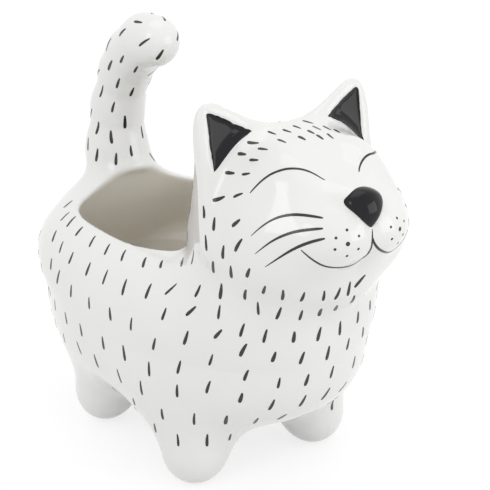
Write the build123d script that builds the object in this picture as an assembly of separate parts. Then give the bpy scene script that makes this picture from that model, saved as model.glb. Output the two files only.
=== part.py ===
from build123d import *
import math
import os

# A glazed earthenware planter in the shape of a standing cat, in millimetres.
# The cat faces -Y, +Z is up, and its own left is +X. While it is modelled, the middle of the
# belly's plan is at x = y = 0 and the rim of the planting mouth is at z = 0. At the end
# everything is moved so that the origin is under the middle of the cat, on the shelf.

# Casting
wall = 4.0
seat_overrun = 2.0
cut_overrun = 30.0
ring_points = 20

# Belly, an egg with a flat rim, oval at its widest level and squarer towards the rim
belly_width = 109.0
belly_length = 161.0
belly_depth = 80.4
belly_fullness = 2.5
plan_fullness_middle = 2.1
plan_fullness_rim = 2.7
rim_share = 0.775
belly_floor_angle = 78.0
belly_rings = 8

# Planting mouth and its rounded lip
mouth_side_lip = 3.8
mouth_back_lip = 5.2
mouth_front_share = -0.318
mouth_fullness = 3.2
mouth_rise = 11.0
mouth_lean = 5.5
inner_lip_round = 1.7

# Legs, one turned form each, splayed a little
foot_radius = 12.6
leg_clearance = 18.1
pad_depth = 0.7
leg_hip_radius = 18.5
leg_waist_radius = 13.9
waist_share = 0.30
hip_height_share = 0.53
# places of the foot and the hip (across, along) as shares of the belly's half sizes
front_leg_shares = ((0.535, -0.466), (0.450, -0.365))
rear_leg_shares = ((0.555, 0.352), (0.450, 0.285))

# Tail, a flared root, a straight stem and a curl towards the head
tail_stem_radius = 12.2
tail_tip_radius = 10.4
tail_root_height = 19.0
tail_curl_radius = 45.0
tail_curl_angle = 74.0
tail_curl_rings = 5
tail_middle_share = 0.790
# height over the rim as a share of the root's height, then radii across and along and the shift
# of the ring's middle from the stem's, as shares of the stem's radius
tail_root_shares = (
    (-1.79, 2.79, 2.38, -1.11),
    (-1.42, 2.83, 2.73, -1.11),
    (-1.00, 2.83, 2.89, -1.11),
    (-0.53, 2.61, 2.82, -1.11),
    (-0.21, 2.30, 2.62, -1.11),
    (0.00, 2.08, 2.43, -1.11),
    (0.21, 1.64, 1.54, -0.46),
    (0.42, 1.28, 1.10, -0.10),
    (0.68, 1.13, 1.10, -0.05),
    (0.95, 1.05, 1.04, -0.02),
    (1.18, 1.01, 1.01, 0.00),
    (1.37, 1.00, 1.00, 0.00),
)

# Head with neck and chest, level rings from the chest up to the brow
head_width = 74.4
head_length = 75.0
crown_height = 52.8
head_middle_share = -0.846
nape_fullness = 2.6
face_fullness = 2.0
# height over the rim as a share of the crown's, half width as a share of the head's, then the
# places of the widest, the front and the back of the ring as shares of the head's half length
head_ring_shares = (
    (-0.83, 0.80, 0.52, -0.10, 1.15),
    (-0.69, 0.97, 0.55, -0.33, 1.15),
    (-0.53, 1.04, 0.60, -0.40, 1.15),
    (-0.37, 1.05, 0.66, -0.43, 1.15),
    (-0.22, 1.03, 0.70, -0.46, 1.15),
    (-0.09, 1.00, 0.70, -0.54, 1.15),
    (0.03, 0.95, 0.58, -0.68, 1.15),
    (0.14, 0.92, 0.24, -0.74, 1.14),
    (0.25, 0.97, 0.00, -0.79, 1.12),
    (0.34, 1.00, -0.07, -0.88, 1.08),
    (0.44, 0.99, -0.07, -0.92, 1.02),
    (0.53, 0.96, -0.01, -0.92, 0.95),
    (0.62, 0.89, 0.04, -0.88, 0.88),
    (0.72, 0.80, 0.09, -0.75, 0.80),
    (0.81, 0.69, 0.12, -0.48, 0.68),
    (0.91, 0.51, 0.12, -0.26, 0.49),
    (0.966, 0.32, 0.12, -0.123, 0.352),
    (0.990, 0.17, 0.12, -0.012, 0.241),
    (0.997, 0.09, 0.12, 0.046, 0.184),
)
# oval forms: middle (across, along, up) and radii, as shares of the half width, the half length
# and the crown's height
eyelid_shares = ((0.390, -0.200, 0.640), (0.330, 0.410, 0.280))
muzzle_shares = ((0.215, -0.580, 0.436), (0.414, 0.440, 0.205))
bridge_shares = ((0.0, -0.520, 0.682), (0.242, 0.400, 0.117))
skull_hollow_shares = ((0.0, 0.10, 0.40), (0.78, 0.70, 0.44))
neck_hollow_shares = ((0.0, 0.36, -0.30), (0.78, 0.56, 0.60))

# Nose, a raised pad between the cheeks
nose_width = 16.8
nose_height = 12.6
nose_edge_round = 0.7
nose_corner_round = 1.5
nose_corner_share = 0.55
nose_place_shares = (0.0, -0.78, 0.535)
# middle and radii of the oval that domes the front: across and up as shares of the nose's width
# and height, along as a share of the head's half length
nose_dome_shares = ((0.0, 0.233, 0.298), (0.804, 0.435, 0.99))

# Ears, rounded three-sided wedges with a sunk face towards the front
ear_rise = 13.5
ear_round = 3.0
ear_margin = 0.8
ear_pocket_depth = 1.5
ear_pocket_round = 1.2
ear_glaze_depth = 0.8
# corners inside the rounding, as shares of the head's half width, half length and crown's height
ear_tip_shares = (0.922, 0.427, 1.0)
ear_outer_shares = (0.900, 0.107, 0.380)
ear_inner_shares = (0.215, 0.333, 0.890)
ear_back_shares = (0.645, 0.680, 0.490)


def ring_face(spots):
    """Flat face inside a smooth closed line through the given places."""
    knots = [step / len(spots) for step in range(len(spots) + 1)]
    return make_face(Edge.make_spline(spots, periodic=True, parameters=knots))


def unit_spot(step, fullness):
    """Place on a ring between a circle and a square of half size 1: 2 is a circle."""
    angle = 2 * math.pi * step / ring_points
    across, along = math.cos(angle), math.sin(angle)
    reach = (abs(across) ** fullness + abs(along) ** fullness) ** (-1 / fullness)
    return reach * across, reach * along


def squared_oval(half_width, half_length, fullness):
    """Flat closed outline between an oval and a rectangle: 2 is an oval, more is squarer."""
    spots = [unit_spot(step, fullness) for step in range(ring_points)]
    return ring_face([(half_width * across, half_length * along) for across, along in spots])


def spread_at(height_share):
    """Share of the widest section that the egg has at a share of its half depth."""
    return (1 - abs(height_share) ** belly_fullness) ** (1 / belly_fullness)


def egg(width, length, depth, top):
    """Egg with its middle at the origin, cut flat at z = top, lofted through level rings."""
    top_angle = math.degrees(math.asin((2 * top / depth) ** (belly_fullness / 2)))
    rings = []
    for step in range(belly_rings):
        angle = -belly_floor_angle + (top_angle + belly_floor_angle) * step / (belly_rings - 1)
        sine = math.sin(math.radians(angle))
        height_share = math.copysign(abs(sine) ** (2 / belly_fullness), sine)
        spread = spread_at(height_share)
        squaring = max(height_share, 0) / rim_share
        fullness = plan_fullness_middle + (plan_fullness_rim - plan_fullness_middle) * squaring
        ring = squared_oval(width / 2 * spread, length / 2 * spread, fullness)
        rings.append(Pos(0, 0, depth / 2 * height_share) * ring)
    return loft(rings)


def rim_half_width(y):
    """Half width of the rim's outside at a distance y behind the belly's middle."""
    spread = spread_at(rim_share)
    along = abs(2 * y / (belly_length * spread)) ** plan_fullness_rim
    return belly_width / 2 * spread * (1 - along) ** (1 / plan_fullness_rim)


# Belly bowl: the egg, hollowed by its wall and opened by the planting mouth
rim_height = rim_share * belly_depth / 2
egg_middle = Pos(0, 0, -rim_height)
belly = egg_middle * egg(belly_width, belly_length, belly_depth, rim_height)
hollow = egg_middle * egg(
    belly_width - 2 * wall, belly_length - 2 * wall, belly_depth - 2 * wall, rim_height - wall
)
mouth_front = mouth_front_share * belly_length / 2
mouth_back = spread_at(rim_share) * belly_length / 2 - mouth_back_lip
mouth_middle = (mouth_front + mouth_back) / 2
mouth_half_length = (mouth_back - mouth_front) / 2
mouth_half_width = rim_half_width(mouth_middle) - mouth_side_lip
mouth_outline = squared_oval(mouth_half_width, mouth_half_length, mouth_fullness)
mouth = Pos(0, mouth_middle, -wall - seat_overrun) * extrude(mouth_outline, wall + seat_overrun)
bowl = belly - hollow - mouth
rim_edges = bowl.edges().filter_by_position(Axis.Z, -inner_lip_round, inner_lip_round)
bowl = fillet(rim_edges.sort_by(SortBy.LENGTH)[0], inner_lip_round)
cat = {"belly_bowl": bowl}


def leg(shares, side):
    """One leg: a turned form from the foot's ball up its splayed axis, let into the belly."""
    foot_shares, hip_shares = shares
    floor = -rim_height - belly_depth / 2 - leg_clearance
    hip_height = -rim_height - hip_height_share * belly_depth / 2
    foot = Vector(
        side * foot_shares[0] * belly_width / 2, foot_shares[1] * belly_length / 2, floor + foot_radius
    )
    hip = Vector(side * hip_shares[0] * belly_width / 2, hip_shares[1] * belly_length / 2, hip_height)
    length = (hip - foot).length
    ball = CenterArc((0, 0), foot_radius, -90, 90)
    waist = (leg_waist_radius, waist_share * length)
    flank = ThreePointArc((foot_radius, 0), waist, (leg_hip_radius, length))
    top = Line((leg_hip_radius, length), (0, length))
    middle_line = Line((0, length), (0, -foot_radius))
    turned = revolve(Plane.XZ * make_face(ball + flank + top + middle_line), Axis.Z)
    shelf = Pos(0, 0, floor + pad_depth) * Box(
        2 * belly_width, 2 * belly_length, cut_overrun, align=(Align.CENTER, Align.CENTER, Align.MAX)
    )
    return Plane(origin=foot, z_dir=hip - foot) * turned - shelf - belly


for side_name, side in (("left", 1), ("right", -1)):
    cat[f"leg_front_{side_name}"] = leg(front_leg_shares, side)
    cat[f"leg_rear_{side_name}"] = leg(rear_leg_shares, side)

# Tail: root and stem, curl and round tip
tail_middle = Pos(0, tail_middle_share * belly_length / 2, 0)
root_rings = []
for height_share, across_share, along_share, shift_share in tail_root_shares:
    ring = Ellipse(across_share * tail_stem_radius, along_share * tail_stem_radius)
    shift = shift_share * tail_stem_radius
    root_rings.append(Pos(0, shift, height_share * tail_root_height) * ring)
stem_height = tail_root_shares[-1][0] * tail_root_height
curl_rings = []
for step in range(tail_curl_rings):
    share = step / (tail_curl_rings - 1)
    angle = math.radians(share * tail_curl_angle)
    spot = (
        0,
        tail_curl_radius * (math.cos(angle) - 1),
        stem_height + tail_curl_radius * math.sin(angle),
    )
    heading = (0, -math.sin(angle), math.cos(angle))
    place = Plane(origin=spot, x_dir=(1, 0, 0), z_dir=heading)
    radius = tail_stem_radius + (tail_tip_radius - tail_stem_radius) * share
    curl_rings.append(place * Circle(radius))
tip_align = (Align.CENTER, Align.CENTER, Align.MIN)
tip = place * Sphere(tail_tip_radius, arc_size1=0, align=tip_align)
tail = tail_middle * (loft(root_rings) + loft(curl_rings) + tip)
mouth_tip = squared_oval(mouth_half_width - mouth_lean, mouth_half_length - mouth_lean, mouth_fullness)
mouth_above = Pos(0, mouth_middle, 0) * loft([mouth_outline, Pos(0, 0, mouth_rise) * mouth_tip])
cat["tail"] = tail - mouth_above - belly

# Head: rings lofted from chest to brow, with a round crown, eyelids, cheeks and the nose's bridge
head_middle = Vector(0, head_middle_share * belly_length / 2, 0)


def head_spot(shares, side=1):
    """Place near the head, given in the head's shares."""
    across = side * shares[0] * head_width / 2
    return head_middle + Vector(across, shares[1] * head_length / 2, shares[2] * crown_height)


def head_oval(shares, side=1):
    """One oval form of the head, given in the head's shares."""
    middle, radii = shares
    sizes = (radii[0] * head_width / 2, radii[1] * head_length / 2, radii[2] * crown_height)
    return Pos(*head_spot(middle, side)) * scale(Sphere(1), by=sizes)


def head_ring(height, half_width, widest, front, back):
    """Level outline, oval before its widest place and squarer behind it, in the head's shares."""
    spots = []
    for step in range(ring_points):
        behind = 2 * step < ring_points
        across, along = unit_spot(step, nape_fullness if behind else face_fullness)
        reach = back - widest if behind else widest - front
        spots.append(head_spot((half_width * across, widest + reach * along, height)))
    return ring_face(spots)


head_forms = [head_oval(bridge_shares)]
for side in (1, -1):
    head_forms += [head_oval(eyelid_shares, side), head_oval(muzzle_shares, side)]
head_block = loft([head_ring(*shares) for shares in head_ring_shares]) + head_forms
head_block = head_block - belly - mouth_above
cat["head"] = head_block - head_oval(skull_hollow_shares) - head_oval(neck_hollow_shares)

# Nose: an arched triangle with a domed front
nose_base = head_spot(nose_place_shares)
nose_corner_height = nose_corner_share * nose_height
nose_arch = ThreePointArc(
    (-nose_width / 2, nose_corner_height), (0, nose_height), (nose_width / 2, nose_corner_height)
)
nose_flanks = Polyline((nose_width / 2, nose_corner_height), (0, 0), (-nose_width / 2, nose_corner_height))
nose_outline = make_face(nose_arch + nose_flanks)
nose_outline = fillet(nose_outline.vertices(), nose_corner_round)
nose_bar = Plane(origin=nose_base, x_dir=(1, 0, 0), z_dir=(0, -1, 0)) * extrude(nose_outline, cut_overrun)
dome_middle, dome_sizes = (
    Vector(shares[0] * nose_width, shares[1] * head_length / 2, shares[2] * nose_height)
    for shares in nose_dome_shares
)
nose_form = nose_bar & Pos(*(nose_base + dome_middle)) * scale(Sphere(1), by=tuple(dome_sizes))
nose_front = nose_form.faces().sort_by(Axis.Y)[0]
nose_form = fillet(nose_front.edges(), nose_edge_round)
cat["nose"] = nose_form - head_block


def ear(side):
    """One ear with its sunk face, and the glaze that lies in it."""
    tip = head_spot(ear_tip_shares, side) + Vector(0, 0, ear_rise - ear_round)
    outer, inner, back = (
        head_spot(shares, side) for shares in (ear_outer_shares, ear_inner_shares, ear_back_shares)
    )
    foot = make_face(Polyline(outer, inner, back, close=True))
    core = loft([foot, Vertex(*tip)], ruled=True)
    wedge = offset(core, ear_round, kind=Kind.ARC)
    front = Plane(origin=tip, x_dir=inner - outer, z_dir=(tip - outer).cross(inner - outer) * side)
    corners = [front.to_local_coords(corner) for corner in (tip, outer, inner)]
    outline = offset(make_face(Polyline(*corners, close=True)), -ear_margin, kind=Kind.INTERSECTION)
    outline = fillet(outline.vertices(), ear_pocket_round)
    pocket_floor = Pos(0, 0, ear_round - ear_pocket_depth) * outline
    pocket = front * extrude(pocket_floor, cut_overrun, dir=(0, 0, 1))
    glaze = front * extrude(pocket_floor, ear_glaze_depth, dir=(0, 0, 1))
    return wedge - pocket - head_block, glaze - head_block


for side_name, side in (("left", 1), ("right", -1)):
    cat[f"ear_{side_name}"], cat[f"ear_glaze_{side_name}"] = ear(side)

# Placement: the origin is under the middle of the whole cat, on the shelf
extent = Compound(children=[Part() + piece for piece in cat.values()]).bounding_box()
to_origin = Pos(-extent.center().X, -extent.center().Y, -extent.min.Z)
os.makedirs("parts", exist_ok=True)
for name, piece in cat.items():
    export_step(to_origin * piece, f"parts/{name}.step")
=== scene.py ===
# %% [markdown]
# A glazed cat planter, dressed for the camera.
#
# A planter like this can be slip cast in a few parts, which are luted together, smoothed with a wet
# sponge, painted with black brush marks and dipped in glossy white glaze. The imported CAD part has
# each casting as a plain solid with a seam. This lesson gives the castings the soft, continuous
# skin that sponge and glaze leave, and then the painter's marks and the finishes.

import bpy
import numpy as np
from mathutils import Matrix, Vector


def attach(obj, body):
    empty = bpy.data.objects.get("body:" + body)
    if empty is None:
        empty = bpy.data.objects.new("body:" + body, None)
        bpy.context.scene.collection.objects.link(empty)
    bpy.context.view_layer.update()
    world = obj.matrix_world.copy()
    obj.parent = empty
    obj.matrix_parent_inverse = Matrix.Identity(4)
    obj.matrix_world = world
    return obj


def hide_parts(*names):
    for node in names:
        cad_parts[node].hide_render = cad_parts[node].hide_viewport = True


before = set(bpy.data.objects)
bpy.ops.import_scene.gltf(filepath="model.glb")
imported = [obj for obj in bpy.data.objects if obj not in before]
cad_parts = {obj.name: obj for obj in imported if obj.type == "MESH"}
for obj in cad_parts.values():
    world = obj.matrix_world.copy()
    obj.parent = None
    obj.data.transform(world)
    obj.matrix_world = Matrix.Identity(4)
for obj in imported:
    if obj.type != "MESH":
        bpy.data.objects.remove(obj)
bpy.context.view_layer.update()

# %% [markdown]
# One origin for all shape values.
#
# The camera aims at a point on the level of the planting rim, ahead of the belly's middle. All
# places below are in millimetres from that point, with the cat facing -Y. Only when a mesh is
# made are they turned into metres on the shelf, so the numbers stay easy to measure and change.
#
# The sizes and places of the belly, legs, neck, head, ears and tail, and the widths of the joints
# between them, come from a least squares fit to outline points and landmarks, which were read
# off the photograph. Some of these values were then changed.

# %% Millimetres from the point that the camera aims at
MM = 0.001
aim = np.array([0.0, -20.089, 88.755])


def on_shelf(spots):
    """Places from the camera's aim, in millimetres, as metres in the frame of the part."""
    return (np.asarray(spots) + aim) * MM


print("aim in metres:", on_shelf([0, 0, 0]))

# %% [markdown]
# Clay forms as distances.
#
# Box modelling or sculpting could shape the cat, but the sponged joints are the hard part: each
# one is a soft hollow with a width of its own. A signed distance says how far a place is from a
# form's surface, and two of them are merged by a soft minimum with one width. So each joint is
# one number or two, and the castings themselves stay ovals, cones and eggs.

# %% Soft joints between distances


def size(vectors):
    return np.sqrt((vectors * vectors).sum(-1))


def lute(one, other, width):
    """Two forms joined with a sponged joint of the given width."""
    overlap = np.maximum(width - np.abs(one - other), 0) / width
    return np.minimum(one, other) - overlap * overlap * width / 4


def keep(one, other, width):
    """What two forms share, with a rounded edge of the given width."""
    return -lute(-one, -other, width)


# %% [markdown]
# Three forms make nearly all of the cat.
#
# An oval is a squashed ball, a roll is a rope of clay with two end radii, and the egg is an oval
# whose side view and plan can be squarer, as the belly is.

# %% Oval, roll and egg


def oval(spots, middle, radii):
    local = spots - np.array(middle)
    near = size(local / np.array(radii))
    steep = size(local / np.square(radii))
    return near * (near - 1) / np.maximum(steep, 1e-6)


def roll(spots, start, end, start_radius, end_radius):
    start, end = np.array(start, float), np.array(end, float)
    axis = end - start
    square = axis @ axis
    taper = start_radius - end_radius
    slant = square - taper * taper
    local = spots - start
    along = local @ axis
    beyond = along - square
    across = size(local * square - axis * along[:, None]) ** 2
    limit = np.sign(taper) * taper * taper * across
    flank = (np.sqrt(across * slant / square) + along * taper) / square - start_radius
    far_end = np.sqrt(across + beyond * beyond * square) / square - end_radius
    near_end = np.sqrt(across + along * along * square) / square - start_radius
    past = np.sign(beyond) * slant * beyond * beyond * square > limit
    before = np.sign(along) * slant * along * along * square < limit
    return np.where(past, far_end, np.where(before, near_end, flank))


def egg(spots, middle, radii, side_power, plan_power):
    across, along, up = (np.abs((spots - np.array(middle)) / radii) + 1e-6).T
    plan = (across**plan_power + along**plan_power) ** (1 / plan_power)
    spread = (plan**side_power + up**side_power) ** (1 / side_power)
    pull = (spread ** (1 - side_power)) * plan ** (side_power - plan_power)
    slopes = np.stack(
        [
            pull * across ** (plan_power - 1) / radii[0],
            pull * along ** (plan_power - 1) / radii[1],
            spread ** (1 - side_power) * up ** (side_power - 1) / radii[2],
        ],
        -1,
    )
    return (spread - 1) / np.maximum(size(slopes), 1e-6)


print("a roll of radius 2 is", roll(np.array([[5.0, 0, 0]]), (0, 0, 0), (0, 9, 0), 2, 2), "mm away")

# %% [markdown]
# Belly and planting mouth.
#
# The belly is the widest casting. Its plan gets squarer towards the rim, so the plan's power
# grows with height. The potter cuts the top level for the rim, and the room for the soil is the
# same egg set in by the wall, with a squared oval mouth above it. The mouth leans in as it rises,
# which keeps it clear of the neck and lets the rim climb the foot of the tail.

# %% The belly's sizes
belly_middle = (0, 30.6, -31.1)
belly_radii = (54.4, 80.5, 40.2)
belly_power = 2.6
plan_power_below, plan_power_rise, plan_power_rear = 2.1, 0.6, 0.9
rear_start, rear_reach = 40, 35
wall = 4.0
mouth_middle_y = 41.0
mouth_half_width = 36.2
mouth_to_front, mouth_to_rear = 38.0, 43.8
mouth_power = 3.2
mouth_rise, mouth_drop = 11.0, 9.0
mouth_lean = 0.5
mouth_round, opening_round, opening_joint = 4, 2, 3
hollow_share, hollow_start, hollow_front = 0.15, 8, 25


def rearward(spots):
    """0 over the front of the belly, growing to 1 at the tail."""
    return np.clip((spots[:, 1] - rear_start) / rear_reach, 0, 1)


def belly_form(spots):
    rise = np.clip((spots[:, 2] - belly_middle[2]) / -belly_middle[2], 0, 1)
    plan_power = plan_power_below + (plan_power_rise + plan_power_rear * rearward(spots)) * rise
    return egg(spots, belly_middle, belly_radii, belly_power, plan_power)


def room_form(spots, belly):
    """The hollow for the soil and the mouth above it, whose wall leans in as it rises."""
    height = spots[:, 2]
    lean = mouth_lean * np.minimum(height, mouth_rise)
    below = np.maximum(-wall - height, 0)
    hollowed = hollow_share * below**2 / (below + hollow_start)
    half_width = mouth_half_width - lean + hollowed
    to_front = mouth_to_front - lean + hollow_front * hollowed
    half_length = np.where(spots[:, 1] < mouth_middle_y, to_front, mouth_to_rear - lean + hollowed)
    across = np.abs(spots[:, 0]) / half_width + 1e-6
    along = np.abs(spots[:, 1] - mouth_middle_y) / half_length + 1e-6
    spread = (across**mouth_power + along**mouth_power) ** (1 / mouth_power)
    pull = spread ** (1 - mouth_power)
    slopes = across ** (mouth_power - 1) / half_width, along ** (mouth_power - 1) / half_length
    slope = pull * np.hypot(*slopes)
    plan = (spread - 1) / np.maximum(slope, 1e-6)
    opening = keep(height - mouth_rise, -mouth_drop - height, opening_round)
    hollow = lute(keep(belly + wall, height + wall, 1), opening, opening_joint)
    return keep(plan, hollow, mouth_round)


# %% [markdown]
# Head, legs, ears and tail.
#
# Left and right are worked with one set of forms: the distance is asked for at the size of x,
# rounded a little near 0 so that no crease runs down the middle. The ear is a rounded corner
# between three planes, with a sunk face in front. The tail is a chain of rolls.

# %% Face and neck forms: middle and radii, then the width of the joint
neck_roll = ((0, -20.7, -4.7), (0, -29.7, 26.3), 33.3, 25.9)
skull = ((0, -33.2, 24.1), (34.0, 25.5, 26.6))
face_forms = (
    ((18.7, -45.8, 17.4), (17.1, 17.1, 17.1), 13.6),
    ((0, -52.2, 3.7), (16.7, 13.9, 11.1), 8.5),
    ((14.3, -45.0, 34.9), (9.4, 13.6, 14.2), 7.5),
    ((0, -52.3, 36.9), (9.6, 16.8, 4.4), 9.5),
    ((7.2, -59.0, 23.6), (15.8, 16.0, 10.6), 12.0),
    ((0, -56.6, 35.4), (8.4, 13.4, 5.0), 5.0),
)
front_leg = ((24.3, 1.5, -50), (29.1, -7.0, -76.8), 15.4, 12.6)
rear_leg = ((24.1, 53.3, -50), (30.5, 58.6, -76.2), 10.6, 12.0)
tail_chain = (
    (92.0, -11.7, 19.3),
    (91.1, 4.3, 11.4),
    (94.4, 18.5, 12.5),
    (92.5, 37.1, 10.7),
    (85.5, 53.1, 10.3),
    (78.4, 61.7, 10.5),
    (69.0, 68.2, 10.3),
    (62.4, 68.9, 10.3),
)

# %% Corners of the ear, and the sunk face that holds the black glaze
ear_tip = np.array([40.6, -22.4, 75.5])
ear_outer = np.array([40.8, -28.6, 40.0])
ear_inner = np.array([4.5, -26.9, 55.0])
ear_back = np.array([29.3, -7.8, 40.0])
ear_round = 4.2
ear_tip_round = 11.0
pocket_corners = np.array([[34.0, -25.6, 63.4], [34.4, -27.4, 39.6], [15.5, -27.2, 53.8]])
pocket_sides = list(zip(pocket_corners, np.roll(pocket_corners, -1, 0)))
pocket_depth = 0.8
pocket_corner_round, pocket_edge_round = 1.6, 1.2
ear_root, ear_root_joint = 12, 8


def plane_distance(spots, one, two, three, inside):
    normal = np.cross(two - one, three - one)
    normal = normal / size(normal)
    if (inside - one) @ normal > 0:
        normal = -normal
    return (spots - one) @ normal


def ear_form(spots):
    centre = (ear_tip + ear_outer + ear_inner + ear_back) / 4
    pairs = ((ear_outer, ear_inner), (ear_outer, ear_back), (ear_inner, ear_back))
    faces = [plane_distance(spots, ear_tip, one, two, centre) for one, two in pairs]
    outline = keep(faces[1], faces[2], ear_tip_round)
    beyond = np.maximum(faces[0] + ear_round, 0) ** 2 + np.maximum(outline + ear_round, 0) ** 2
    within = np.minimum(np.maximum(faces[0], outline) + ear_round, 0)
    solid = keep(np.sqrt(beyond) - ear_round + within, ear_root - spots[:, 2], ear_root_joint)
    pocket = -faces[0] - pocket_depth
    normal = np.cross(ear_outer - ear_tip, ear_inner - ear_tip)
    middle = pocket_corners.mean(0)
    for corner, following in pocket_sides:
        edge = plane_distance(spots, corner, following, corner + normal, middle)
        pocket = keep(pocket, edge, pocket_corner_round)
    return -lute(-solid, pocket, pocket_edge_round)


def tail_form(spots):
    whole = None
    for low, high in zip(tail_chain, tail_chain[1:]):
        piece = roll(spots, (0, *low[:2]), (0, *high[:2]), low[2], high[2])
        whole = piece if whole is None else lute(whole, piece, tail_ring_joint)
    return whole


# %% [markdown]
# The whole cat as one form.
#
# The joints are broad at the haunches and the tail's root, and narrow at the nape. The front feet
# are cut flat at the shelf. The rear feet are round and end 0.6 mm above it.

# %% Put the castings together
rim_round = 3.0
rim_height, rim_climb = 1.4, 1.0
leg_joint, tail_joint, ear_joint = 20.0, 22.8, 9.0
chest_joint, nape_joint = 17.7, 6.0
head_joint, side_joint = 9.0, 17.0
lip_round = 3.0
foot_round = 1.0
tail_ring_joint, leg_pair_joint = 4, 3
middle_round = 1
side_start, side_reach = 8, 16
nape_start, nape_reach = -20, 16


def rim_level(spots):
    """The rim's height, which climbs a little towards the tail."""
    return rim_height + rim_climb * rearward(spots)


def castings(spots):
    """Distance to each casting by itself."""
    half = spots.copy()
    half[:, 0] = np.sqrt(half[:, 0] ** 2 + middle_round)
    belly = belly_form(spots)
    head = oval(spots, *skull)
    for middle, radii, joint in face_forms:
        head = lute(head, oval(half, middle, radii), joint)
    sideways = np.clip((half[:, 0] - side_start) / side_reach, 0, 1)
    to_nape = np.clip((spots[:, 1] - nape_start) / nape_reach, 0, 1)
    return {
        "belly": belly,
        "rimmed": keep(belly, spots[:, 2] - rim_level(spots), rim_round),
        "room": room_form(spots, belly),
        "leg_front": roll(half, *front_leg),
        "leg_rear": roll(half, *rear_leg),
        "neck": roll(spots, *neck_roll),
        "head": head,
        "ear": ear_form(half),
        "tail": tail_form(spots),
        "head_joint": head_joint + (side_joint - head_joint) * sideways,
        "neck_joint": chest_joint + (nape_joint - chest_joint) * to_nape,
    }


def outside(parts):
    head = lute(parts["head"], parts["ear"], ear_joint)
    front = lute(parts["neck"], head, parts["head_joint"])
    whole = lute(parts["rimmed"], lute(parts["leg_front"], parts["leg_rear"], leg_pair_joint), leg_joint)
    whole = lute(whole, front, parts["neck_joint"])
    return lute(whole, parts["tail"], tail_joint)


def cat_form(spots):
    """Signed distance to the fired clay: negative inside the wall."""
    parts = castings(spots)
    clay = keep(outside(parts), -parts["room"], lip_round)
    return keep(clay, -aim[2] - spots[:, 2], foot_round)


print("the belly's side is", round(float(cat_form(np.array([[60.0, 30.6, -31.1]]))[0]), 2), "mm from x = 60")

# %% [markdown]
# From distances to a mesh.
#
# Marching cubes would do, but it leaves slivers. Surface nets put one vertex in each cell that
# the surface crosses and join neighbours with quads, which shade evenly. The vertices are then
# moved towards the middle of their neighbours a few times, and set down on the form each time.

# %% Distances on a grid, only where the surface is near


def in_lots(form, spots, lot=200000):
    return np.concatenate([form(spots[start : start + lot]) for start in range(0, len(spots), lot)])


def grid_values(form, low, high, step, block=4):
    blocks = np.ceil((high - low) / (block * step)).astype(int)
    middles = low + (np.indices(blocks).reshape(3, -1).T + 0.5) * block * step
    rough = in_lots(form, middles).reshape(blocks)
    near = np.abs(rough) < 1.6 * block * step
    values = np.sign(rough)
    for axis in range(3):
        near = near.repeat(block, axis)
        values = values.repeat(block, axis)
    values[near] = in_lots(form, low + (np.argwhere(near) + 0.5) * step)
    return values


# %% Surface nets


def net(form, low, high, step):
    """Vertices and outward quads of a form's surface."""
    low, high = np.array(low, float), np.array(high, float)
    values = grid_values(form, low, high, step)
    inside = values < 0
    corners = [np.array(c) for c in np.ndindex(2, 2, 2)]
    cells = np.array(values.shape) - 1

    def shifted(array, corner):
        a, b, c = corner
        return array[a : cells[0] + a, b : cells[1] + b, c : cells[2] + c]

    filled = sum(shifted(inside, corner).astype(int) for corner in corners)
    crossed = (filled > 0) & (filled < 8)
    number = np.full(crossed.shape, -1)
    number[crossed] = np.arange(crossed.sum())
    at_corner = np.stack([shifted(values, corner)[crossed] for corner in corners], -1)
    total = np.zeros((len(at_corner), 3))
    count = np.zeros(len(at_corner))
    for first in range(8):
        for second in range(first + 1, 8):
            if np.abs(corners[first] - corners[second]).sum() != 1:
                continue
            one, two = at_corner[:, first], at_corner[:, second]
            cut = (one < 0) != (two < 0)
            share = np.where(cut, one / np.where(cut, one - two, 1), 0)
            place = corners[first] + share[:, None] * (corners[second] - corners[first])
            total += np.where(cut[:, None], place, 0)
            count += cut
    spots = low + (np.argwhere(crossed) + 0.5 + total / count[:, None]) * step
    quads = []
    for axis in range(3):
        ahead = np.roll(np.eye(3, dtype=int)[0], axis)
        side, up = np.roll(ahead, 1), np.roll(ahead, 2)
        start = inside[tuple(slice(0, -1) if a else slice(None) for a in ahead)]
        end = inside[tuple(slice(1, None) if a else slice(None) for a in ahead)]
        edges = np.argwhere(start != end)
        keeps = ((edges >= side + up) & (edges < cells)).all(1)
        edges = edges[keeps]
        around = [edges - side - up, edges - up, edges, edges - side]
        ring = np.stack([number[tuple(cell.T)] for cell in around], -1)
        outward = start[tuple(edges.T)]
        quads.append(np.where(outward[:, None], ring, ring[:, ::-1]))
    return spots, np.concatenate(quads)


# %% Slopes, and setting places down on the surface


def slope_at(form, spots, step=0.05):
    shifts = np.eye(3) * step
    return np.stack([(in_lots(form, spots + s) - in_lots(form, spots - s)) / (2 * step) for s in shifts], -1)


def unit(vectors):
    return vectors / np.maximum(size(vectors), 1e-9)[..., None]


def normals_at(spots):
    """Outward directions of the clay at these places."""
    return unit(slope_at(cat_form, spots))


def set_down(form, spots, rounds=2):
    for _ in range(rounds):
        slope = slope_at(form, spots)
        reach = np.clip(in_lots(form, spots) / np.maximum((slope**2).sum(-1), 0.2), -1, 1)
        spots = spots - reach[:, None] * slope
    return spots


def even_out(form, spots, quads, rounds=3):
    ends = np.concatenate([quads[:, [a, (a + 1) % 4]] for a in range(4)])
    joined = np.bincount(ends[:, 0], minlength=len(spots)) + np.bincount(ends[:, 1], minlength=len(spots))
    for _ in range(rounds):
        mean = np.stack(
            [
                np.bincount(ends[:, 0], spots[ends[:, 1], axis], len(spots))
                + np.bincount(ends[:, 1], spots[ends[:, 0], axis], len(spots))
                for axis in range(3)
            ],
            -1,
        ) / joined[:, None]
        spots = set_down(form, spots + 0.6 * (mean - spots), 1)
    return set_down(form, spots, 1)


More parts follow.
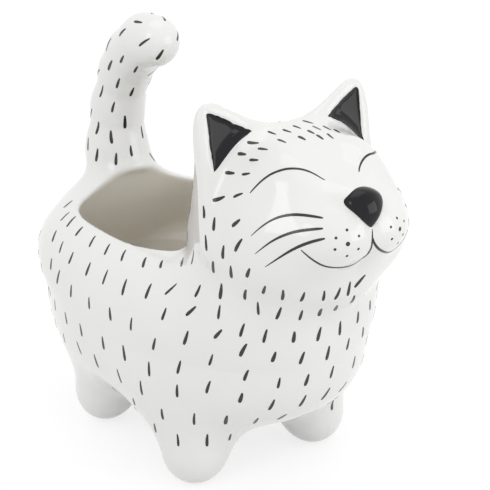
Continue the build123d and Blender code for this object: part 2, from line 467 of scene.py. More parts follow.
# %% Mesh the cat
net_step = 1.25
net_low, net_high = (-58, -79, -92), (58, 119, 83)
skin_spots, skin_quads = net(cat_form, net_low, net_high, net_step)
skin_spots = even_out(cat_form, skin_spots, skin_quads)
skin_normals = normals_at(skin_spots)
print("cat skin:", len(skin_spots), "vertices,", len(skin_quads), "quads")

# %% [markdown]
# One mesh object for each casting.
#
# The skin is cut where two castings are equally far away, in the middle of each sponged joint.
# Both sides keep the same vertices and the same normals, so the glaze runs over the cut without
# a line. Each piece is closed inside the clay by a fan of triangles.

# %% Which casting each quad belongs to
middles = skin_spots[skin_quads].mean(1)
parts = castings(middles)
front = lute(parts["neck"], parts["head"], parts["head_joint"])
nearest = np.argmin(
    [parts["rimmed"], parts["leg_front"], parts["leg_rear"], front, parts["ear"], parts["tail"]], 0
)
soil_side_start = 0.3
soil_side = -parts["room"] > outside(parts) + soil_side_start
left = middles[:, 0] > 0
sides = ("right", "left")
leg_names = [f"leg_{place}_{side}" for place in ("front", "rear") for side in sides]
ear_names = [f"ear_{side}" for side in sides]
casting_names = np.array(["belly_bowl", *leg_names, "head", *ear_names, "tail"])
first_number = np.array([0, 1, 3, 5, 6, 8])
two_sided = np.isin(nearest, (1, 2, 4))
casting = np.where(soil_side, 0, first_number[nearest] + (two_sided & left))
print("quads in each casting:", dict(zip(casting_names.tolist(), np.bincount(casting).tolist())))

# %% Mesh objects with exact normals


def add_object(name, data):
    """A new object in the scene that holds this mesh, lamp or camera."""
    made = bpy.data.objects.new(name, data)
    bpy.context.scene.collection.objects.link(made)
    return made


def mesh_piece(name, spots, faces, normals):
    """One object that rides on the part, from places in millimetres and its own normals."""
    mesh = bpy.data.meshes.new(name)
    mesh.from_pydata(on_shelf(spots).tolist(), [], faces)
    mesh.polygons.foreach_set("use_smooth", [True] * len(faces))
    mesh.normals_split_custom_set_from_vertices(unit(normals).tolist())
    piece = add_object(name, mesh)
    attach(piece, "root")
    return piece


def boundary_fans(own):
    """For each neighbour, the border edges and the middle of the border."""
    ends = np.concatenate([skin_quads[:, [a, (a + 1) % 4]] for a in range(4)])
    owner = np.tile(casting, 4)
    key = ends.min(1).astype(np.int64) * len(skin_spots) + ends.max(1)
    order = np.argsort(key, kind="stable")
    first, second = order[::2], order[1::2]
    fans = []
    for mine, theirs in ((first, second), (second, first)):
        border = (owner[mine] == own) & (owner[theirs] != own)
        fans.append(np.column_stack([ends[mine[border]], owner[theirs[border]]]))
    return np.concatenate(fans)


def border_middle(one, other):
    """The same middle for both sides of a border."""
    low, high = min(one, other), max(one, other)
    rows = boundary_fans(low)
    rows = rows[rows[:, 2] == high]
    return skin_spots[np.unique(rows[:, :2])].mean(0)


glazed = {}
for own, name in enumerate(casting_names.tolist()):
    quads = skin_quads[casting == own]
    used = np.unique(quads)
    renumber = np.full(len(skin_spots), -1)
    renumber[used] = np.arange(len(used))
    faces = renumber[quads].tolist()
    spots, normals = skin_spots[used], skin_normals[used]
    rows = boundary_fans(own)
    for other in np.unique(rows[:, 2]):
        hub = border_middle(own, other)
        edges = renumber[rows[rows[:, 2] == other][:, :2]]
        faces += [[int(b), int(a), len(spots)] for a, b in edges]
        spots = np.vstack([spots, hub])
        normals = np.vstack([normals, [0, 0, 1]])
    glazed[name] = mesh_piece(f"glazed_{name}", spots, faces, normals)
    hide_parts(name)
    layers = castings(spots)
    depth = glazed[name].data.attributes.new("soil_side", "FLOAT", "POINT")
    depth.data.foreach_set("value", (-layers["room"] - outside(layers)).astype(np.float32))
print("pieces:", [piece.name for piece in glazed.values()])

# %% [markdown]
# The nose.
#
# It is a separate pad of clay under black glaze: an arched triangle with a domed front and soft
# edges. It is meshed by the same net, on a finer grid, because it is only 16 mm wide.

# %% Nose pad
nose_arch_radius = 11.8
nose_arch_height = 28.9
nose_flank = (9.4, 8.2)
nose_foot = 26.6
nose_outline_round, nose_front_round, nose_back_round = 2.2, 1.6, 1
nose_dome = ((0, -58.0, 32.0), (13.5, 16.4, 12.5))
nose_back = -60


def nose_form(spots):
    across, up = np.abs(spots[:, 0]), spots[:, 2]
    flank = (across * nose_flank[0] - (up - nose_foot) * nose_flank[1]) / np.hypot(*nose_flank)
    arch = np.hypot(spots[:, 0], up - nose_arch_height) - nose_arch_radius
    outline = keep(flank, arch, nose_outline_round)
    pad = keep(outline, oval(spots, *nose_dome), nose_front_round)
    return keep(pad, spots[:, 1] - nose_back, nose_back_round)


nose_spots, nose_quads = net(nose_form, (-11, -77, 26), (11, -57, 44), 0.5)
nose_spots = even_out(nose_form, nose_spots, nose_quads)
nose = mesh_piece("nose_pad", nose_spots, nose_quads.tolist(), slope_at(nose_form, nose_spots))
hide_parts("nose")
print("nose:", len(nose_spots), "vertices")

# %% [markdown]
# Where the painter's brush touched.
#
# The marks could be a painted texture, but small crisp strokes need a big one. Here each mark is
# a thin closed ribbon of black slip. It stands less than a tenth of a millimetre out of the clay
# and reaches a little into it. The visible marks are placed where the eye sees them in the
# photograph: a line of sight is followed from the camera until it meets the clay. The camera's
# place comes from a fit to pairs of landmarks on the cat's two sides.

# %% Follow lines of sight to the clay
eye_spot = np.array([-304.1, -420.5, 188.0])
focal_pixels = 1430.0
frame_middle = 245.0
forward = -eye_spot / size(eye_spot)
to_right = unit(np.cross(forward, [0, 0, 1.0]))
to_top = np.cross(to_right, forward)
sight_start, sight_end, sight_steps, sight_share = 400.0, 700, 90, 0.8


def seen_spots(pixels):
    """Places on the clay that are seen at these places of the 490 by 490 picture."""
    pixels = np.asarray(pixels, float)
    across, down = (pixels - frame_middle).T / focal_pixels
    sight = unit(forward + across[:, None] * to_right - down[:, None] * to_top)
    reach = np.full(len(pixels), sight_start)
    for _ in range(sight_steps):
        reach = reach + sight_share * np.clip(cat_form(eye_spot + sight * reach[:, None]), -5, 40)
    return eye_spot + sight * reach[:, None], reach < sight_end


# %% A brush stroke is a ribbon that follows the clay
stroke_edge = 0.05
stroke_crown = 0.09
stroke_root = -0.15
across_shares = np.array([-1.0, -0.55, 0.0, 0.55, 1.0])


def ribbons(lines, widths):
    """Closed ribbons on the clay: lines (stroke, station, 3) and widths (stroke, station)."""
    count, stations = widths.shape
    flat = lines.reshape(-1, 3)
    normals = normals_at(flat).reshape(lines.shape)
    ahead = unit(np.gradient(lines, axis=1))
    aside = unit(np.cross(normals, ahead))
    spread = lines[:, :, None] + (aside * widths[..., None] / 2)[:, :, None] * across_shares[:, None]
    spots = set_down(cat_form, spread.reshape(-1, 3))
    up = normals_at(spots)
    lift = stroke_edge + (stroke_crown - stroke_edge) * (1 - np.tile(across_shares**2, count * stations))
    top = spots + up * lift[:, None]
    root = spots + up * stroke_root
    wide = len(across_shares)
    faces = []
    layer = count * stations * wide
    for stroke in range(count):
        base = stroke * stations * wide
        for row in range(stations - 1):
            for column in range(wide - 1):
                a = base + row * wide + column
                faces.append([a, a + wide, a + wide + 1, a + 1])
                faces.append([layer + a, layer + a + 1, layer + a + wide + 1, layer + a + wide])
        rim = [base + column for column in range(wide)]
        rim += [base + row * wide + wide - 1 for row in range(1, stations)]
        rim += [base + (stations - 1) * wide + column for column in range(wide - 2, -1, -1)]
        rim += [base + row * wide for row in range(stations - 2, 0, -1)]
        for a, b in zip(rim, rim[1:] + rim[:1]):
            faces.append([a, b, layer + b, layer + a])
    return np.vstack([top, root]), faces, np.vstack([up, up])


def curve_through(spots, stations):
    """Even places along a soft curve through the given ones."""
    spots = np.asarray(spots, float)
    for _ in range(3):
        quarter = 0.75 * spots[:-1] + 0.25 * spots[1:]
        last = 0.25 * spots[:-1] + 0.75 * spots[1:]
        mixed = np.stack([quarter, last], 1).reshape(-1, 3)
        spots = np.vstack([spots[:1], mixed[1:-1], spots[-1:]])
    run = np.concatenate([[0], np.cumsum(size(np.diff(spots, axis=0)))])
    even = np.linspace(0, run[-1], stations)
    return np.stack([np.interp(even, run, spots[:, axis]) for axis in range(3)], -1)


def painted(name, strokes):
    """One object from strokes, each a line of places and its widths."""
    spots, faces, normals = [], [], []
    for line, widths in strokes:
        more, more_faces, more_normals = ribbons(np.array([line]), np.array([widths]))
        faces += [[index + sum(map(len, spots)) for index in face] for face in more_faces]
        spots.append(more)
        normals.append(more_normals)
    piece = mesh_piece(name, np.vstack(spots), faces, np.vstack(normals))
    return piece


mirror = np.array([-1.0, 1.0, 1.0])
brushed = []

# %% [markdown]
# The sleepy face.
#
# Closed eyes, mouth and whiskers are single pulls of a pointed brush, so their width swells and
# runs out. The near marks are placed by sight, and so are the far freckles and what is in view of
# the far eye and mouth. The rest of those two and the far whiskers are mirror images. The freckles
# are dabs with the brush's tip.

# %% Eyes, mouth and whiskers
eye_pixels = (
    (250, 193), (258, 184), (265, 178), (273, 173), (285, 169), (295, 168.5), (305, 170),
    (315, 174), (325, 180),
)
mouth_pixels = (
    (372, 229), (372, 240), (371, 248), (365, 257), (355, 264), (340, 267.5), (325, 266.5),
    (313, 260), (301, 250),
)
far_eye_pixels = (
    (359, 172), (359.3, 168), (360.8, 163.5), (363, 159.5), (366.3, 156), (370, 154),
    (374, 153.5),
)
far_mouth_pixels = ((372.5, 237), (373.5, 242), (377, 247.5), (383, 251.5), (390, 252.5))
whisker_pixels = (
    ((323, 218), (305, 215), (290, 214.5), (275, 218), (262, 226), (251, 236)),
    ((323, 228.5), (300, 230.5), (285, 234.5), (270, 242), (255, 254)),
    ((325, 238.5), (310, 242), (295, 248), (280, 257), (265, 267)),
)
far_gap = 4
far_every = 4
far_whisker_start = 14
thinnest_pull = 0.08


def pulled(pixels, stations, full, start, end):
    """A brush pull through places in the picture, from a start share of its width to an end share."""
    spots, _ = seen_spots(pixels)
    line = curve_through(spots, stations)
    way = np.linspace(0, 1, stations)
    swell = np.sin(np.pi * way) ** 0.5
    taper = start + (end - start) * way
    return line, full * np.maximum(taper * (0.35 + 0.65 * swell), thinnest_pull)


def far_pull(pixels, near_line, near_widths):
    """The far twin: by sight where it is seen, and then the mirror image of the near one."""
    spots, _ = seen_spots(pixels)
    beyond = near_line * mirror
    beyond = beyond[beyond[:, 0] > spots[-1, 0] + far_gap]
    whole = np.vstack([spots, beyond[::far_every]])
    line = set_down(cat_form, curve_through(whole, len(near_widths)))
    return line, near_widths


eye_line, eye_widths = pulled(eye_pixels, 36, 0.95, 0.9, 0.9)
far_eye = far_pull(far_eye_pixels, eye_line[::-1], eye_widths)
brushed.append(painted("closed_eyes", [(eye_line, eye_widths), far_eye]))
mouth_line, mouth_widths = pulled(mouth_pixels, 44, 1.05, 1.1, 0.75)
far_mouth = far_pull(far_mouth_pixels, mouth_line, mouth_widths)
brushed.append(painted("mouth_line", [(mouth_line, mouth_widths), far_mouth]))
whiskers = [pulled(pixels, 30, 1.4, 1.0, 0.3) for pixels in whisker_pixels]
far_whiskers = [
    (line[far_whisker_start:] * mirror, widths[far_whisker_start:]) for line, widths in whiskers
]
brushed.append(painted("whiskers", whiskers + far_whiskers))

# %% Freckles
freckle_pixels = ((347, 230), (359, 236), (336, 238), (348, 244), (358.5, 249), (335, 249.5), (347, 256))
far_freckle_pixels = ((397, 218), (391, 227), (404, 221), (400, 229), (392, 239), (403, 234.5), (398, 243))
freckle_widths = (1.0, 1.0, 1.0, 1.6, 1.0, 1.0, 1.0) * 2
dab_stations = np.cos(np.linspace(np.pi, 0, 9))


def dab(spot, width):
    """A round dab of slip, as a short ribbon whose widths are a circle's."""
    normal = normals_at(spot[None])[0]
    across = unit(np.cross(normal, [0, 0, 1.0]))
    line = spot + dab_stations[:, None] * across * width / 2
    return line, width * np.sqrt(np.maximum(1 - dab_stations**2, 0.01))


freckle_spots, _ = seen_spots(freckle_pixels + far_freckle_pixels)
freckles = [dab(spot, width) for spot, width in zip(freckle_spots, freckle_widths)]
brushed.append(painted("freckles", freckles))

# %% [markdown]
# Black glaze in the ears.
#
# The sunk face of each ear is flooded with black glaze, which stops a little inside the white
# edge. It is a thin pool: rings of places round its middle, out to a slightly wavering outline,
# set down on the clay and lifted.

# %% Pools of black glaze
pool_rings = np.array([0.12, 0.3, 0.5, 0.7, 0.85, 0.95, 1.0])
pool_steps = 96
pool_edge = 0.16
pool_thickness = 0.16
pool_root = 0.2
pool_share = 0.96
pool_waves = ((0.5, 7, 0.4), (0.3, 13, 1.1), (0.2, 23, 0))


def pool_outline(waver):
    """The pool's edge: the pocket's corners, rounded, with a wavering line."""
    centre = pocket_corners.mean(0)
    edge = []
    for corner, following in pocket_sides:
        shares = np.linspace(0, 1, pool_steps // 3, endpoint=False)[:, None]
        edge.append(corner + shares * (following - corner))
    edge = np.concatenate(edge)
    for _ in range(3):
        edge = (np.roll(edge, 1, 0) + edge + np.roll(edge, -1, 0)) / 3
    turn = np.linspace(0, 2 * np.pi, len(edge), endpoint=False)
    waves = sum(height * np.sin(count * turn + shift) for height, count, shift in pool_waves)
    wave = 1 + waver * waves
    return centre + (edge - centre) * (pool_share * wave)[:, None]


def pool(name, side, waver):
    edge = pool_outline(waver)
    centre = edge.mean(0)
    spots = (centre + pool_rings[:, None, None] * (edge - centre)).reshape(-1, 3)
    spots = set_down(cat_form, np.vstack([spots, centre]), 3)
    up = normals_at(spots)
    rings = np.append(np.repeat(pool_rings, len(edge)), 0)
    lift = pool_edge + pool_thickness * (1 - rings**6)
    top, root = spots + up * lift[:, None], spots - up * pool_root
    steps, layer = len(edge), len(spots)
    faces = []
    for ring in range(len(pool_rings) - 1):
        for step in range(steps):
            a, b = ring * steps + step, ring * steps + (step + 1) % steps
            faces.append([a, b, b + steps, a + steps])
            faces.append([layer + b, layer + a, layer + a + steps, layer + b + steps])
    last = (len(pool_rings) - 1) * steps
    for step in range(steps):
        a, b = step, (step + 1) % steps
        faces.append([layer - 1, b, a])
        faces.append([2 * layer - 1, layer + a, layer + b])
        faces.append([last + a, last + b, layer + last + b, layer + last + a])
    spots, normals = np.vstack([top, root]), np.vstack([up, -up])
    if np.cross(top[steps] - top[0], top[1] - top[0]) @ up[0] > 0:
        faces = [face[::-1] for face in faces]
    if side < 0:
        spots, normals, faces = spots * mirror, normals * mirror, [face[::-1] for face in faces]
    piece = mesh_piece(name, spots, faces, normals)
    return piece


ear_pools = [pool("ear_pool_left", 1, 0.02), pool("ear_pool_right", -1, 0.05)]
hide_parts("ear_glaze_left")
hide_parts("ear_glaze_right")
print("ear pools:", [len(piece.data.vertices) for piece in ear_pools], "vertices")

# %% [markdown]
# Rows of dashes on the coat.
#
# The painter worked round the cat in level rows of short dashes, each pressed down at its foot
# and lifted at its tip, leaning a little. The rows that the photograph shows are placed by sight.
# The hidden side gets the mirror image, wherever no dash is near already, and the parts that
# neither reaches are filled with dashes the same distance apart.

# %% The dashes that are seen, row by row
# each dash: how far across and down the picture its middle is, and how far its tip leans to the
# right of upright, in degrees
belly_rows = (
    (68, 204, 50), (65, 216, 45), (71, 221, 40), (79, 231, 38), (92, 241, 28), (107, 249, 25),
    (123, 255, 22), (144, 262, 18), (161, 264, 15), (182, 262, 12), (193, 257, 10), (54, 236, 20),
    (61, 247, 18), (71, 258, 22), (88, 269, 20), (105, 277, 20), (124, 287, 16), (148, 291, 22),
    (171, 289, 48), (198, 291, 25), (221, 291, 8), (51, 264, 5), (58, 277, 12), (71, 291, 3),
    (89, 303, -2), (110, 314, -5), (131, 324, 5), (164, 314, 20), (191, 311, 48), (219, 312, 8),
    (55, 305, -5), (66, 318, -10), (81, 330, -10), (103, 343, -8), (124, 353, -8), (154, 344, 12),
    (186, 338, 18), (218, 334, 42), (64, 338, -12), (79, 348, -20), (96, 361, -18), (119, 376, -18),
    (149, 369, -2), (179, 367, 15), (211, 360, 18), (141, 388, -8), (177, 391, 0), (208, 387, 18),
    (134, 402, -15), (162, 414, -8), (194, 419, 2), (226, 420, 12), (155, 428, -10), (178, 440, -5),
    (207, 440, 2), (230, 437, 15),
)
chest_rows = (
    (248, 273, 20), (245, 294, 8), (264, 290, 18), (283, 295, 5), (303, 297, 22), (324, 296, 8),
    (338, 294, 25), (349, 289, 10), (360, 281, 40), (370, 305, 0), (258, 308, -3), (279, 313, 22),
    (301, 315, 17), (320, 312, 20), (336, 308, 28), (353, 300, 27), (358, 317, 5), (242, 330, 18),
    (265, 336, 15), (294, 337, 7), (319, 334, 14), (340, 328, 3), (363, 332, 5), (348, 344, 12),
    (243, 350, 28), (274, 357, 20), (302, 358, 20), (328, 353, 12), (354, 362, 12), (246, 375, 22),
    (279, 383, 12), (307, 380, 18), (332, 372, 15), (343, 387, 38), (241, 398, 18), (272, 405, 28),
    (303, 401, 30), (326, 394, 35), (332, 405, 8), (256, 421, 40), (282, 417, 60),
)
cheek_and_crown = (
    (204, 212, -3), (214, 224, 5), (206, 243, -3), (223, 252, 5), (213, 267, -3), (231, 272, -3),
    (238, 245, 30), (236, 223, 50), (219, 199, 72), (238, 195, 68), (230, 173, 95), (246, 174, 82),
    (242, 154, 95), (254, 160, 93), (253, 143, 93), (263, 149, 97), (272, 133, 110), (282, 141, 112),
    (287, 131, 108), (302, 138, 118), (297, 127, 110), (311, 132, 118), (320, 137, 125),
    (308, 122, 105), (317, 128, 115), (330, 136, 130), (327, 128, 118), (337, 131, 120),
)
tail_rows = (
    (138, 13, 75), (138, 22, 100), (164, 18, -36), (122, 32, 42), (144, 42, 55), (178, 36, 5),
    (108, 44, 22), (160, 55, 35), (110, 65, 22), (122, 59, 25), (136, 69, 30), (98, 72, 20),
    (118, 83, 18), (132, 92, 22), (102, 91, 15), (153, 72, 50), (113, 107, 15), (125, 122, 0),
    (146, 100, 15), (91, 113, 10), (98, 128, 14), (111, 137, -5), (142, 132, -10), (88, 144, 2),
    (97, 155, 8), (116, 159, 2), (131, 151, -8), (152, 157, -35),
)

# %% Place, mirror and fill
chance = np.random.default_rng(7)
row_gap = 8.2
candidate_count = 9000
seen_rows = np.array(belly_rows + chest_rows + cheek_and_crown + tail_rows, float)
seen_dashes, met = seen_spots(seen_rows[:, :2])
seen_dashes, seen_leans = seen_dashes[met], np.radians(seen_rows[met, 2])


def add_apart(spots, more, gap):
    """The given places, and those further ones that keep their distance from all before."""
    spots = list(spots)
    for spot in more:
        if size(np.array(spots) - spot).min() > gap:
            spots.append(spot)
    return np.array(spots)


grazing, leave_clay, clay_in_way = 0.05, 3.0, 0.2
way_steps, shortest_step, longest_step = 30, 0.5, 30


def hidden(spots, normals):
    """Whether the camera can't see these places."""
    sight = unit(eye_spot - spots)
    turned_away = (sight * normals).sum(-1) < grazing
    reach = np.full(len(spots), leave_clay)
    nearest_clay = np.full(len(spots), np.inf)
    for _ in range(way_steps):
        distance = cat_form(spots + sight * reach[:, None] + normals)
        nearest_clay = np.minimum(nearest_clay, distance)
        reach = reach + np.clip(distance, shortest_step, longest_step)
    return turned_away | (nearest_clay < clay_in_way)


coat_depth, ear_gap, tail_gap = 3, 1.0, 3
face_back, face_low, face_high = -44, -4, 52
rim_low, rim_front, rim_back = -6, -2, 112
coat_low, steepest_under = -66, -0.75


def coat(spots, normals):
    """Where the coat has dashes: not on the face, the ears, the rim, the feet or underneath."""
    across, along, up = spots.T
    parts = castings(spots)
    outer = -parts["room"] < outside(parts) - coat_depth
    face = (along < face_back) & (up > face_low) & (up < face_high)
    ears = parts["ear"] < ear_gap
    rim = (up > rim_low) & (along > rim_front) & (along < rim_back) & (parts["tail"] > tail_gap)
    above = (up > coat_low) & (normals[:, 2] > steepest_under)
    return outer & ~face & ~ears & ~rim & above


far_dashes = seen_dashes * mirror
far_normals = normals_at(far_dashes)
far_dashes = far_dashes[coat(far_dashes, far_normals) & hidden(far_dashes, far_normals)]
all_dashes = add_apart(seen_dashes, far_dashes, row_gap)
order = chance.permutation(len(skin_spots))[:candidate_count]
candidates = skin_spots[order]
allowed = coat(candidates, skin_normals[order])
candidates, their_normals = candidates[allowed], skin_normals[order][allowed]
unseen = hidden(candidates, their_normals)
all_dashes = add_apart(all_dashes, candidates[unseen], row_gap)
print(len(seen_dashes), "dashes placed by sight,", len(all_dashes), "in all")

# %% Brush the dashes
dash_stations = np.linspace(-0.5, 0.5, 7)
dash_profile = np.array([0.6, 0.97, 1.0, 0.94, 0.83, 0.68, 0.4])
dash_length = 5.6
dash_width = 1.25
lean_to_right, lean_spread = 0.25, 0.12
crown_start, crown_reach, crown_back, crown_shorter = 15, 30, 20, 0.32
tip_forward, crown_flatter = 0.1, 0.85
length_range, width_range, bend_spread = (0.82, 1.15), (0.8, 1.2), 0.02

normals = normals_at(all_dashes)
on_crown = np.clip((all_dashes[:, 2] - crown_start) / crown_reach, 0, 1)
on_crown = on_crown * (all_dashes[:, 1] < crown_back)
heading = np.stack([0 * on_crown, -tip_forward - on_crown, 1.0 - crown_flatter * on_crown], -1)
heading = heading + lean_to_right * np.cross([0, 0, 1.0], normals)
heading = heading + chance.normal(0, lean_spread, heading.shape)
heading = unit(heading - (heading * normals).sum(-1)[:, None] * normals)
by_sight = len(seen_dashes)
sight = unit(seen_dashes - eye_spot)
leaning = np.sin(seen_leans)[:, None] * to_right + np.cos(seen_leans)[:, None] * to_top
seen_heading = unit(np.cross(normals[:by_sight], np.cross(sight, leaning)))
forwards = np.sign((seen_heading * leaning).sum(-1))
heading[:by_sight] = seen_heading * forwards[:, None]
lengths = dash_length * chance.uniform(*length_range, len(all_dashes))
lengths = lengths * (1 - crown_shorter * on_crown)
widths = dash_width * chance.uniform(*width_range, len(all_dashes))
bend = chance.normal(0, bend_spread, len(all_dashes))
aside = np.cross(normals, heading)
lines = (
    all_dashes[:, None]
    + dash_stations[:, None] * (lengths[:, None] * heading)[:, None]
    + (dash_stations**2)[:, None] * (bend[:, None] * lengths[:, None] * aside)[:, None] * 4
)
lines = set_down(cat_form, lines.reshape(-1, 3)).reshape(lines.shape)
coat_spots, coat_faces, coat_normals = ribbons(lines, widths[:, None] * dash_profile)
dashes = mesh_piece("coat_dashes", coat_spots, coat_faces, coat_normals)
brushed.append(dashes)
print("dashes:", len(coat_faces), "faces")

# %% [markdown]
# One node group for every glaze.
#
# Glaze is never one flat colour: it breaks in soft clouds where it lies thicker, and its surface
# has a faint swell. The group gives a clouded colour, a varying roughness and a height, and each
# finish sets its own values. The shader itself stays in the material.

# %% Glaze cloud group


def node(tree, kind, values=None, **settings):
    """A new node with these settings and these values in its inputs."""
    made = tree.nodes.new(kind)
    for name, value in settings.items():
        setattr(made, name, value)
    for entry, value in (values or {}).items():
        made.inputs[entry].default_value = value
    return made


def wire(tree, *links):
    """Each link is a node, its output, the next node and its input."""
    for source, output, target, entry in links:
        tree.links.new(source.outputs[output], target.inputs[entry])


cloud_group = bpy.data.node_groups.new("glaze_cloud", "ShaderNodeTree")
group_inputs = ("Thin Colour", "Thick Colour", "Cloud Scale", "Smoothest", "Roughest")
group_outputs = ("Colour", "Roughness", "Height")
for way, names in (("INPUT", group_inputs), ("OUTPUT", group_outputs)):
    for name in names:
        kind = "NodeSocketColor" if "Colour" in name else "NodeSocketFloat"
        cloud_group.interface.new_socket(name=name, in_out=way, socket_type=kind)
tree = cloud_group
given, result = node(tree, "NodeGroupInput"), node(tree, "NodeGroupOutput")
where = node(tree, "ShaderNodeTexCoord")
cloud = node(tree, "ShaderNodeTexNoise", {"Detail": 3})
tint = node(tree, "ShaderNodeMix", data_type="RGBA")
polish = node(tree, "ShaderNodeMapRange")
swell = node(tree, "ShaderNodeTexNoise", {"Scale": 90, "Detail": 1})
wire(
    tree,
    (where, "Object", cloud, "Vector"),
    (where, "Object", swell, "Vector"),
    (given, "Cloud Scale", cloud, "Scale"),
    (cloud, "Fac", tint, 0),
    (given, "Thin Colour", tint, 6),
    (given, "Thick Colour", tint, 7),
    (cloud, "Fac", polish, "Value"),
    (given, "Smoothest", polish, "To Min"),
    (given, "Roughest", polish, "To Max"),
    (tint, 2, result, "Colour"),
    (polish, "Result", result, "Roughness"),
    (swell, "Fac", result, "Height"),
)
print("group inputs:", [item.name for item in cloud_group.interface.items_tree if item.in_out == "INPUT"])

# %% A finish made with the group


def glaze(name, thin, thick, scale, smoothest, roughest, swell_height):
    """A fired finish; returns the material, its shader and the group's node."""
    material = bpy.data.materials.new(name)
    material.use_nodes = True
    tree = material.node_tree
    shader = tree.nodes["Principled BSDF"]
    values = dict(zip(group_inputs, ((*thin, 1), (*thick, 1), scale, smoothest, roughest)))
    clouds = node(tree, "ShaderNodeGroup", values, node_tree=cloud_group)
    bump = node(tree, "ShaderNodeBump", {"Distance": swell_height, "Strength": 0.5})
    wire(
        tree,
        (clouds, "Height", bump, "Height"),
        (bump, "Normal", shader, "Normal"),
        (clouds, "Colour", shader, "Base Color"),
        (clouds, "Roughness", shader, "Roughness"),
    )
    shader.inputs["IOR"].default_value = 1.5
    return material, shader, clouds


# %% [markdown]
# White glaze outside, bare slip inside.
#
# The dip covers the outside and the lip. Inside, where soil goes, the pot is a plain beige grey,
# and so are the spots under the feet, where the glaze was wiped off before firing. Both borders
# are masks: one from the depth attribute on the mesh, one from the height over the shelf.

# %% White glaze with its two bare places
white, white_shader, white_clouds = glaze(
    "white_glaze", (0.80, 0.80, 0.785), (0.86, 0.86, 0.85), 26, 0.07, 0.13, 0.0002
)
tree = white.node_tree
bare_clay = (0.80, 0.768, 0.70, 1)
depth = node(tree, "ShaderNodeAttribute", attribute_name="soil_side")
wobble = node(tree, "ShaderNodeTexNoise", {"Scale": 140})
place = node(tree, "ShaderNodeTexCoord")
ragged = node(tree, "ShaderNodeMath", {1: 0.4}, operation="MULTIPLY_ADD")
inside_mask = node(tree, "ShaderNodeMapRange", {"From Min": 0.65, "From Max": 0.95})
height = node(tree, "ShaderNodeSeparateXYZ")
foot_mask = node(tree, "ShaderNodeMapRange", {"From Min": 0.0008, "From Max": 0.0004})
bare = node(tree, "ShaderNodeMath", operation="MAXIMUM")
colour = node(tree, "ShaderNodeMix", {7: bare_clay}, data_type="RGBA")
rough = node(tree, "ShaderNodeMix", {3: 0.42}, data_type="FLOAT")
wire(
    tree,
    (place, "Object", wobble, "Vector"),
    (wobble, "Fac", ragged, 0),
    (depth, "Fac", ragged, 2),
    (ragged, 0, inside_mask, "Value"),
    (place, "Object", height, 0),
    (height, "Z", foot_mask, "Value"),
    (inside_mask, "Result", bare, 0),
    (foot_mask, "Result", bare, 1),
    (bare, 0, colour, 0),
    (white_clouds, "Colour", colour, 6),
    (colour, 2, white_shader, "Base Color"),
    (bare, 0, rough, 0),
    (white_clouds, "Roughness", rough, 2),
    (rough, 0, white_shader, "Roughness"),
)
for piece in glazed.values():
    piece.data.materials.append(white)

# %% [markdown]
# Black glaze and brushed slip.
#
# The nose and the ears carry the same thick black glaze. The brush marks are thinner, so they
# are a softer charcoal whose tone changes in small clouds along the strokes.

# %% Black finishes
black, black_shader, _ = glaze(
    "black_glaze", (0.002, 0.002, 0.003), (0.008, 0.008, 0.011), 60, 0.05, 0.1, 0.0002
)
brush_black, _, _ = glaze(
    "brushed_slip", (0.008, 0.008, 0.009), (0.042, 0.041, 0.042), 150, 0.12, 0.22, 0.0001
)
black_shader.inputs["Specular IOR Level"].default_value = 0.3
for piece in [nose, *ear_pools]:
    piece.data.materials.append(black)
for piece in brushed:
    piece.data.materials.append(brush_black)
print("materials:", [material.name for material in bpy.data.materials])

# %% [markdown]
# Shelf, light and camera.
#
# The photograph is a cut-out on white with hardly a shadow. The floor is white paper: camera rays
# see part of its brightness as its own, so it stays white while a soft shadow of the cat remains.
# Three large soft lamps and a pale world light the pot evenly.

# %% White floor that keeps a faint shadow
floor_half = 3.0
floor_mesh = bpy.data.meshes.new("paper_floor")
floor_corners = [(x * floor_half, y * floor_half, 0) for x, y in ((-1, -1), (1, -1), (1, 1), (-1, 1))]
floor_mesh.from_pydata(floor_corners, [], [(0, 1, 2, 3)])
floor = add_object("paper_floor", floor_mesh)
paper = bpy.data.materials.new("white_paper")
paper.use_nodes = True
tree = paper.node_tree
tree.nodes.remove(tree.nodes["Principled BSDF"])
out = tree.nodes["Material Output"]


def seen_ray(tree):
    """1 for rays from the camera, in a mirror or through glass."""
    rays = node(tree, "ShaderNodeLightPath")
    first = node(tree, "ShaderNodeMath", operation="MAXIMUM")
    second = node(tree, "ShaderNodeMath", operation="MAXIMUM")
    wire(
        tree,
        (rays, "Is Camera Ray", first, 0),
        (rays, "Is Glossy Ray", first, 1),
        (first, 0, second, 0),
        (rays, "Is Transmission Ray", second, 1),
    )
    return second


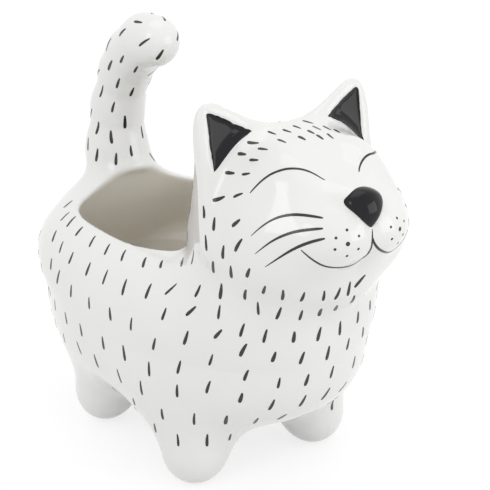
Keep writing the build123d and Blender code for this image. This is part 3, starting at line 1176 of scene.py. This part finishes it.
plain = node(tree, "ShaderNodeBsdfDiffuse", {"Color": (0.8, 0.8, 0.8, 1)})
faint = node(tree, "ShaderNodeBsdfDiffuse", {"Color": (0.3, 0.3, 0.3, 1)})
own_light = node(tree, "ShaderNodeEmission", {"Strength": 0.74})
both = node(tree, "ShaderNodeAddShader")
choice = node(tree, "ShaderNodeMixShader")
wire(
    tree,
    (faint, 0, both, 0),
    (own_light, 0, both, 1),
    (seen_ray(tree), 0, choice, 0),
    (plain, 0, choice, 1),
    (both, 0, choice, 2),
    (choice, 0, out, "Surface"),
)
floor_mesh.materials.append(paper)

# %% World and lamps
world = bpy.data.worlds.new("pale_room")
bpy.context.scene.world = world
world.use_nodes = True
tree = world.node_tree
background = tree.nodes["Background"]
background.inputs["Color"].default_value = (1, 1, 1, 1)
strength = node(tree, "ShaderNodeMapRange", {"To Min": 0.86, "To Max": 1.0})
wire(tree, (seen_ray(tree), 0, strength, "Value"), (strength, "Result", background, "Strength"))


lamp_aim = Vector((0, 0, 0.07))


def soft_lamp(name, spot, watts, across):
    lamp = bpy.data.lights.new(name, "AREA")
    lamp.energy = watts
    lamp.shape = "RECTANGLE"
    lamp.size, lamp.size_y = across
    holder = add_object(name, lamp)
    holder.location = spot
    holder.rotation_euler = (lamp_aim - Vector(spot)).to_track_quat("-Z", "Y").to_euler()


soft_lamp("window_left", (-1.1, -0.5, 1.0), 2.4, (0.5, 0.7))
soft_lamp("top_sheet", (0.2, 0.1, 1.5), 2.2, (1.0, 1.0))
soft_lamp("right_fill", (0.8, -1.1, 0.35), 3.0, (0.9, 0.7))
bpy.context.scene.view_settings.view_transform = "Standard"

# %% Camera at the photograph's angle
sensor = 36.0
picture_pixels = 490.0
lens = bpy.data.cameras.new("photo_camera")
lens.sensor_width = sensor
lens.lens = focal_pixels * sensor / picture_pixels
camera = add_object("photo_camera", lens)
camera.location = on_shelf(eye_spot)
camera.rotation_euler = Vector(forward).to_track_quat("-Z", "Y").to_euler()
bpy.context.scene.camera = camera
print("lens in mm:", round(lens.lens, 2))
